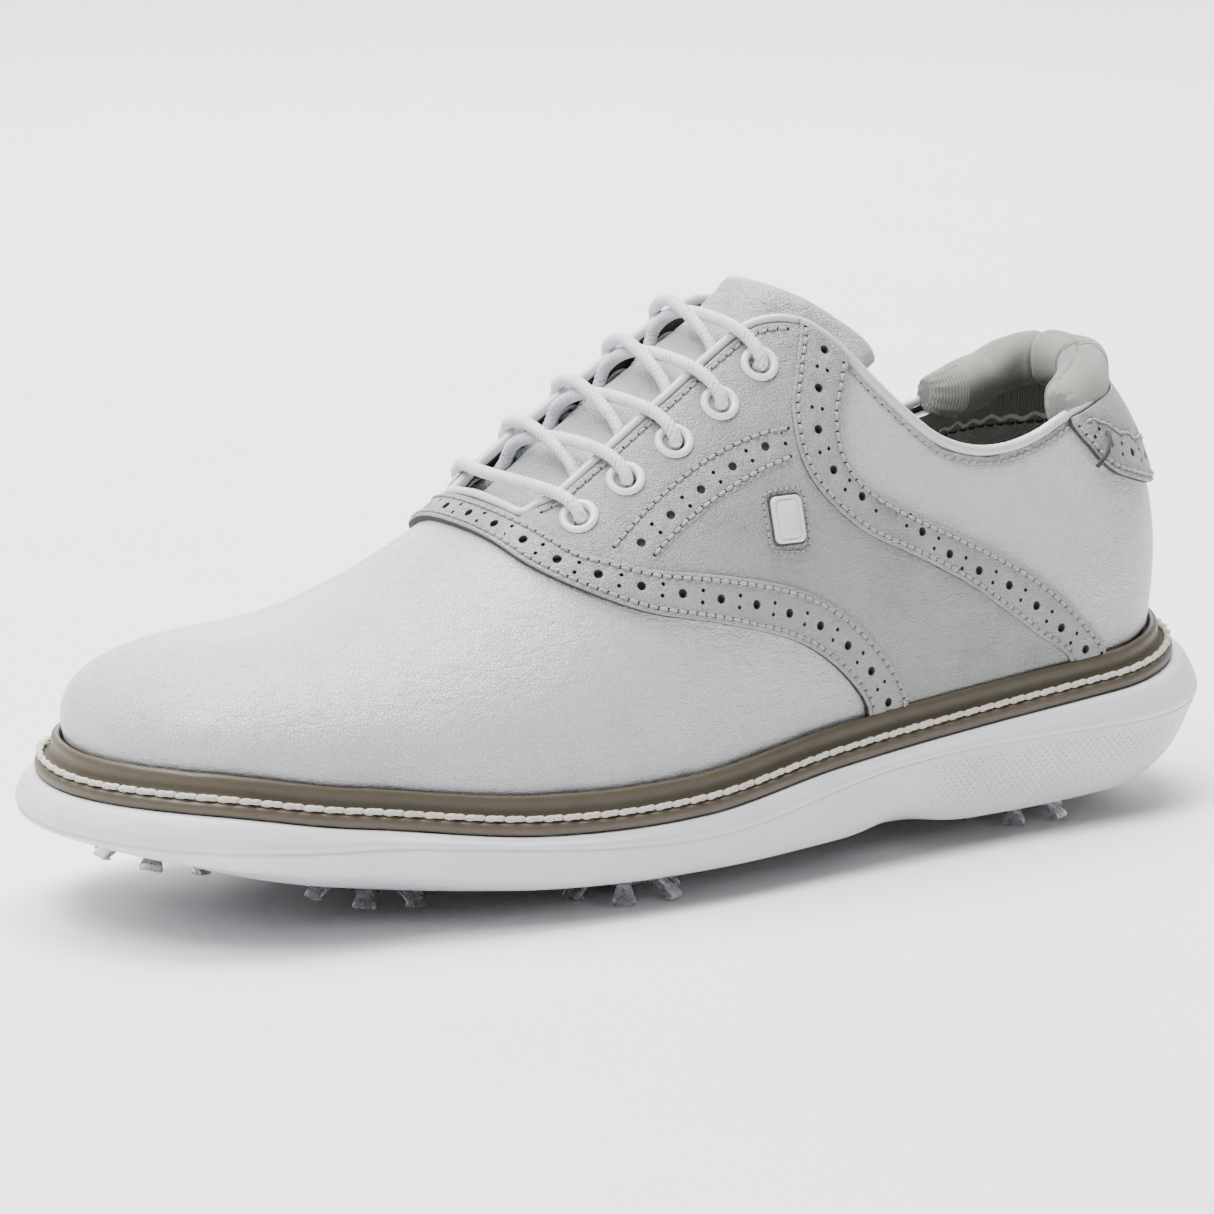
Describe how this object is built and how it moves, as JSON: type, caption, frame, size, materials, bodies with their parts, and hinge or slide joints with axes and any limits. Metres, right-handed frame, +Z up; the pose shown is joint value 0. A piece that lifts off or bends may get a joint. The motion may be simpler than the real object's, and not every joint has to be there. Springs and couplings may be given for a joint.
{
  "type": "golf shoe",
  "caption": "Laced saddle golf shoe with perforated bands, stitched welt, foam midsole and twist-in soft cleats; the tongue tilts and each cleat twists.",
  "frame": {"origin": "centre of the bounding box at floor level, under the cleat tips", "axes": "+X from the toe to the heel, +Y towards the inner (medial) side of the foot, +Z up"},
  "size_m": [0.3034, 0.1087, 0.1313],
  "materials": {
    "white_leather": "pebble-grained white full-grain leather, low sheen",
    "grey_leather": "smooth light grey leather with a soft mottle and dark raw edges",
    "midsole_foam": "moulded white foam, satin skin",
    "clear_plastic": "translucent thermoplastic, glossy",
    "dark_plastic": "moulded black plastic",
    "welt_rubber": "taupe rubber welt, satin",
    "thread": "waxed off-white thread",
    "fibre_board": "pressed fibre board, never seen",
    "steel": "sprung steel strip, never seen",
    "lining_fabric": "ribbed satin knit, beige grey",
    "white_plastic": "glossy white",
    "lace_cord": "round braided white cord"
  },
  "bodies": {
    "shoe": {"midsole": "midsole_foam", "outsole": "clear_plastic", "shank": "steel", "insole_board": "fibre_board", "sockliner": "lining_fabric", "cleat_receptacle_1": "dark_plastic", "cleat_receptacle_2": "dark_plastic", "cleat_receptacle_3": "dark_plastic", "cleat_receptacle_4": "dark_plastic", "cleat_receptacle_5": "dark_plastic", "cleat_receptacle_6": "dark_plastic", "cleat_receptacle_7": "dark_plastic", "welt": "welt_rubber", "welt_stitch": "thread", "vamp": "white_leather", "toe_puff": "fibre_board", "vamp_lining": "lining_fabric", "front_band": "grey_leather", "quarter_lateral": "white_leather", "saddle_lateral": "grey_leather", "eyestay_lateral": "grey_leather", "rear_band_lateral": "grey_leather", "quarter_medial": "white_leather", "saddle_medial": "grey_leather", "eyestay_medial": "grey_leather", "rear_band_medial": "grey_leather", "heel_tab": "grey_leather", "heel_counter": "fibre_board", "quarter_lining": "lining_fabric", "collar_pad": "lining_fabric", "topline_piping": "white_leather", "eyelet_lateral_1": "white_plastic", "eyelet_lateral_2": "white_plastic", "eyelet_lateral_3": "white_plastic", "eyelet_lateral_4": "white_plastic", "eyelet_lateral_5": "white_plastic", "eyelet_medial_1": "white_plastic", "eyelet_medial_2": "white_plastic", "eyelet_medial_3": "white_plastic", "eyelet_medial_4": "white_plastic", "eyelet_medial_5": "white_plastic", "badge": "white_plastic", "lace": "lace_cord", "lace_tip_lateral": "white_plastic", "lace_tip_medial": "white_plastic", "tab_loop": "dark_plastic"},
    "tongue": {"tongue": "grey_leather", "tongue_lining": "lining_fabric"},
    "cleat_1": {"cleat_1": "clear_plastic"},
    "cleat_2": {"cleat_2": "clear_plastic"},
    "cleat_3": {"cleat_3": "clear_plastic"},
    "cleat_4": {"cleat_4": "clear_plastic"},
    "cleat_5": {"cleat_5": "clear_plastic"},
    "cleat_6": {"cleat_6": "clear_plastic"},
    "cleat_7": {"cleat_7": "clear_plastic"}
  },
  "joints": [
    {"name": "tongue_tilt", "type": "hinge", "parent": "shoe", "child": "tongue", "pos_m": [-0.05, 0.0008, 0.07], "axis": [0, 1, 0], "range_deg": [0, 8]},
    {"name": "cleat_1_twist", "type": "hinge", "parent": "shoe", "child": "cleat_1", "pos_m": [-0.11435, 0.02085, 0.01338], "axis": [-0.1982, 0, -0.9802], "range_deg": [0, 60]},
    {"name": "cleat_2_twist", "type": "hinge", "parent": "shoe", "child": "cleat_2", "pos_m": [-0.07935, -0.01315, 0.00807], "axis": [-0.1006, 0, -0.9949], "range_deg": [0, 60]},
    {"name": "cleat_3_twist", "type": "hinge", "parent": "shoe", "child": "cleat_3", "pos_m": [-0.06635, 0.02485, 0.007], "axis": [-0.0634, 0, -0.998], "range_deg": [0, 60]},
    {"name": "cleat_4_twist", "type": "hinge", "parent": "shoe", "child": "cleat_4", "pos_m": [-0.02435, -0.03315, 0.0063], "axis": [0, 0, -1], "range_deg": [0, 60]},
    {"name": "cleat_5_twist", "type": "hinge", "parent": "shoe", "child": "cleat_5", "pos_m": [-0.01035, 0.01885, 0.0063], "axis": [0, 0, -1], "range_deg": [0, 60]},
    {"name": "cleat_6_twist", "type": "hinge", "parent": "shoe", "child": "cleat_6", "pos_m": [0.09365, -0.01815, 0.0063], "axis": [0, 0, -1], "range_deg": [0, 60]},
    {"name": "cleat_7_twist", "type": "hinge", "parent": "shoe", "child": "cleat_7", "pos_m": [0.09965, 0.02185, 0.0063], "axis": [0, 0, -1], "range_deg": [0, 60]}
  ]
}
